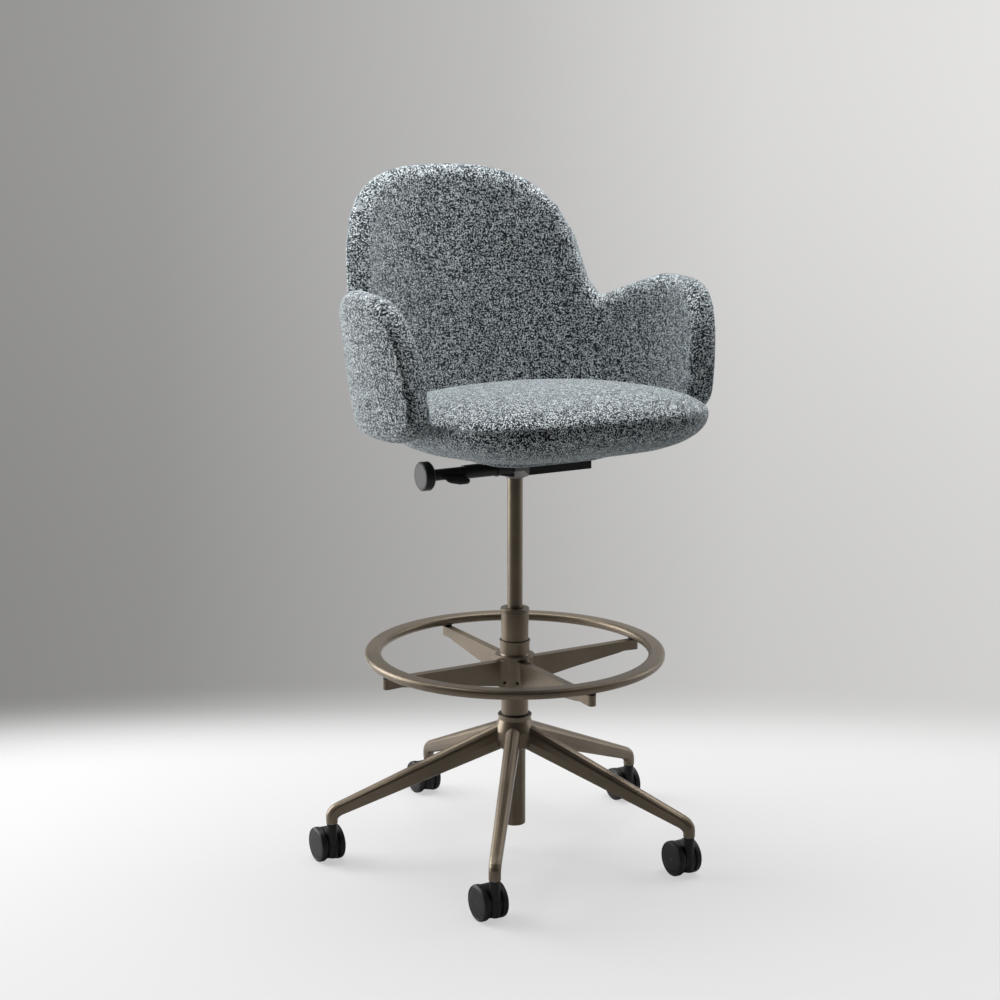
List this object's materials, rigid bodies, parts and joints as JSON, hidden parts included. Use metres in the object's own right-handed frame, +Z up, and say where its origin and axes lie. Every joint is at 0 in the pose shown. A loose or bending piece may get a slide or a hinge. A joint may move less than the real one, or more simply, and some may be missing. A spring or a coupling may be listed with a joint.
{
  "type": "drafting chair",
  "caption": "Tall swivel drafting armchair with an upholstered bucket shell, sliding foot ring, gas lift and a caster star base.",
  "frame": {"origin": "on the floor on the column's axis", "axes": "+Z up, the sitter faces -Y, the controls are on the sitter's right at -X"},
  "size_m": [0.6964, 0.7399, 1.2545],
  "materials": {
    "bronze_casting": "bronze powder coat, satin",
    "bronze_steel": "bronze powder coat, satin",
    "upholstery": "coarse blue-grey melange weave",
    "plywood": "raw plywood",
    "bare_casting": "bare casting",
    "black_steel": "black powder coat",
    "grey_plastic": "grey moulded plastic",
    "bright_steel": "bright steel",
    "black_plastic": "matte black plastic"
  },
  "bodies": {
    "base": {"star_base": "bronze_casting", "hub_ring": "black_plastic", "column_tube": "bronze_steel", "column_bushing": "black_plastic", "column_cap": "bronze_steel", "thrust_bearing": "bright_steel", "caster_stems": "bright_steel"},
    "foot_rest": {"foot_ring": "bronze_casting", "foot_spider": "bronze_casting", "ring_pads": "black_plastic", "ring_screws": "bright_steel", "spider_liner": "black_plastic", "grub_screws": "black_steel"},
    "rod": {"piston_rod": "bright_steel", "rod_clip": "bright_steel"},
    "lift": {"gas_cylinder": "bronze_steel", "mechanism_housing": "bare_casting", "cross_tube": "black_steel"},
    "valve": {"valve_button": "bright_steel"},
    "paddle": {"height_paddle": "black_plastic"},
    "knob": {"tension_shaft": "bright_steel", "tension_knob": "black_plastic", "knob_cap": "grey_plastic"},
    "seat": {"torsion_bar": "bright_steel", "tilt_plate": "black_steel", "plate_screws": "bright_steel", "seat_board": "plywood", "seat_frame": "black_steel", "seat_cushion": "upholstery", "shell_upholstery": "upholstery"},
    "caster_1": {"caster_1_hood": "black_plastic", "caster_1_axle": "bright_steel"},
    "caster_1_left": {"caster_1_wheel_left": "black_plastic"},
    "caster_1_right": {"caster_1_wheel_right": "black_plastic"},
    "caster_2": {"caster_2_hood": "black_plastic", "caster_2_axle": "bright_steel"},
    "caster_2_left": {"caster_2_wheel_left": "black_plastic"},
    "caster_2_right": {"caster_2_wheel_right": "black_plastic"},
    "caster_3": {"caster_3_hood": "black_plastic", "caster_3_axle": "bright_steel"},
    "caster_3_left": {"caster_3_wheel_left": "black_plastic"},
    "caster_3_right": {"caster_3_wheel_right": "black_plastic"},
    "caster_4": {"caster_4_hood": "black_plastic", "caster_4_axle": "bright_steel"},
    "caster_4_left": {"caster_4_wheel_left": "black_plastic"},
    "caster_4_right": {"caster_4_wheel_right": "black_plastic"},
    "caster_5": {"caster_5_hood": "black_plastic", "caster_5_axle": "bright_steel"},
    "caster_5_left": {"caster_5_wheel_left": "black_plastic"},
    "caster_5_right": {"caster_5_wheel_right": "black_plastic"}
  },
  "joints": [
    {"name": "foot_ring_height", "type": "slide", "parent": "base", "child": "foot_rest", "axis": [0, 0, 1], "range_m": [-0.042, 0.052]},
    {"name": "seat_swivel", "type": "hinge", "parent": "base", "child": "rod", "pos_m": [0, 0, 0.3], "axis": [0, 0, 1], "continuous": true},
    {"name": "seat_height", "type": "slide", "parent": "rod", "child": "lift", "axis": [0, 0, 1], "range_m": [-0.215, 0]},
    {"name": "paddle_lift", "type": "hinge", "parent": "lift", "child": "paddle", "pos_m": [0, -0.038, 0.7335], "axis": [-1, 0, 0], "range_deg": [0, 6], "stiffness_Nm_per_rad": 2, "springref_deg": -17.19},
    {"name": "valve_press", "type": "slide", "parent": "lift", "child": "valve", "axis": [0, 0, 1], "range_m": [-0.004, 0]},
    {"name": "tension_turn", "type": "hinge", "parent": "lift", "child": "knob", "pos_m": [0, -0.038, 0.7335], "axis": [1, 0, 0], "range_deg": [-540, 540]},
    {"name": "seat_tilt", "type": "hinge", "parent": "lift", "child": "seat", "pos_m": [0, -0.038, 0.7335], "axis": [-1, 0, 0], "range_deg": [0, 10], "stiffness_Nm_per_rad": 90, "springref_deg": -17.19},
    {"name": "caster_1_swivel", "type": "hinge", "parent": "base", "child": "caster_1", "pos_m": [0, 0.341, 0.06], "axis": [0, 0, 1], "continuous": true},
    {"name": "caster_1_roll_left", "type": "hinge", "parent": "caster_1", "child": "caster_1_left", "pos_m": [0, 0.363, 0.032], "axis": [1, 0, 0], "continuous": true},
    {"name": "caster_1_roll_right", "type": "hinge", "parent": "caster_1", "child": "caster_1_right", "pos_m": [0, 0.363, 0.032], "axis": [1, 0, 0], "continuous": true},
    {"name": "caster_2_swivel", "type": "hinge", "parent": "base", "child": "caster_2", "pos_m": [-0.32431, 0.10537, 0.06], "axis": [0, 0, 1], "continuous": true},
    {"name": "caster_2_roll_left", "type": "hinge", "parent": "caster_2", "child": "caster_2_left", "pos_m": [-0.32431, 0.12737, 0.032], "axis": [1, 0, 0], "continuous": true},
    {"name": "caster_2_roll_right", "type": "hinge", "parent": "caster_2", "child": "caster_2_right", "pos_m": [-0.32431, 0.12737, 0.032], "axis": [1, 0, 0], "continuous": true},
    {"name": "caster_3_swivel", "type": "hinge", "parent": "base", "child": "caster_3", "pos_m": [-0.20044, -0.27587, 0.06], "axis": [0, 0, 1], "continuous": true},
    {"name": "caster_3_roll_left", "type": "hinge", "parent": "caster_3", "child": "caster_3_left", "pos_m": [-0.20044, -0.25388, 0.032], "axis": [1, 0, 0], "continuous": true},
    {"name": "caster_3_roll_right", "type": "hinge", "parent": "caster_3", "child": "caster_3_right", "pos_m": [-0.20044, -0.25388, 0.032], "axis": [1, 0, 0], "continuous": true},
    {"name": "caster_4_swivel", "type": "hinge", "parent": "base", "child": "caster_4", "pos_m": [0.20044, -0.27587, 0.06], "axis": [0, 0, 1], "continuous": true},
    {"name": "caster_4_roll_left", "type": "hinge", "parent": "caster_4", "child": "caster_4_left", "pos_m": [0.20044, -0.25388, 0.032], "axis": [1, 0, 0], "continuous": true},
    {"name": "caster_4_roll_right", "type": "hinge", "parent": "caster_4", "child": "caster_4_right", "pos_m": [0.20044, -0.25388, 0.032], "axis": [1, 0, 0], "continuous": true},
    {"name": "caster_5_swivel", "type": "hinge", "parent": "base", "child": "caster_5", "pos_m": [0.32431, 0.10537, 0.06], "axis": [0, 0, 1], "continuous": true},
    {"name": "caster_5_roll_left", "type": "hinge", "parent": "caster_5", "child": "caster_5_left", "pos_m": [0.32431, 0.12737, 0.032], "axis": [1, 0, 0], "continuous": true},
    {"name": "caster_5_roll_right", "type": "hinge", "parent": "caster_5", "child": "caster_5_right", "pos_m": [0.32431, 0.12737, 0.032], "axis": [1, 0, 0], "continuous": true}
  ],
  "couplings": [
    {"joint": "paddle_lift", "follows": "valve_press", "rad_per_m": -26}
  ]
}
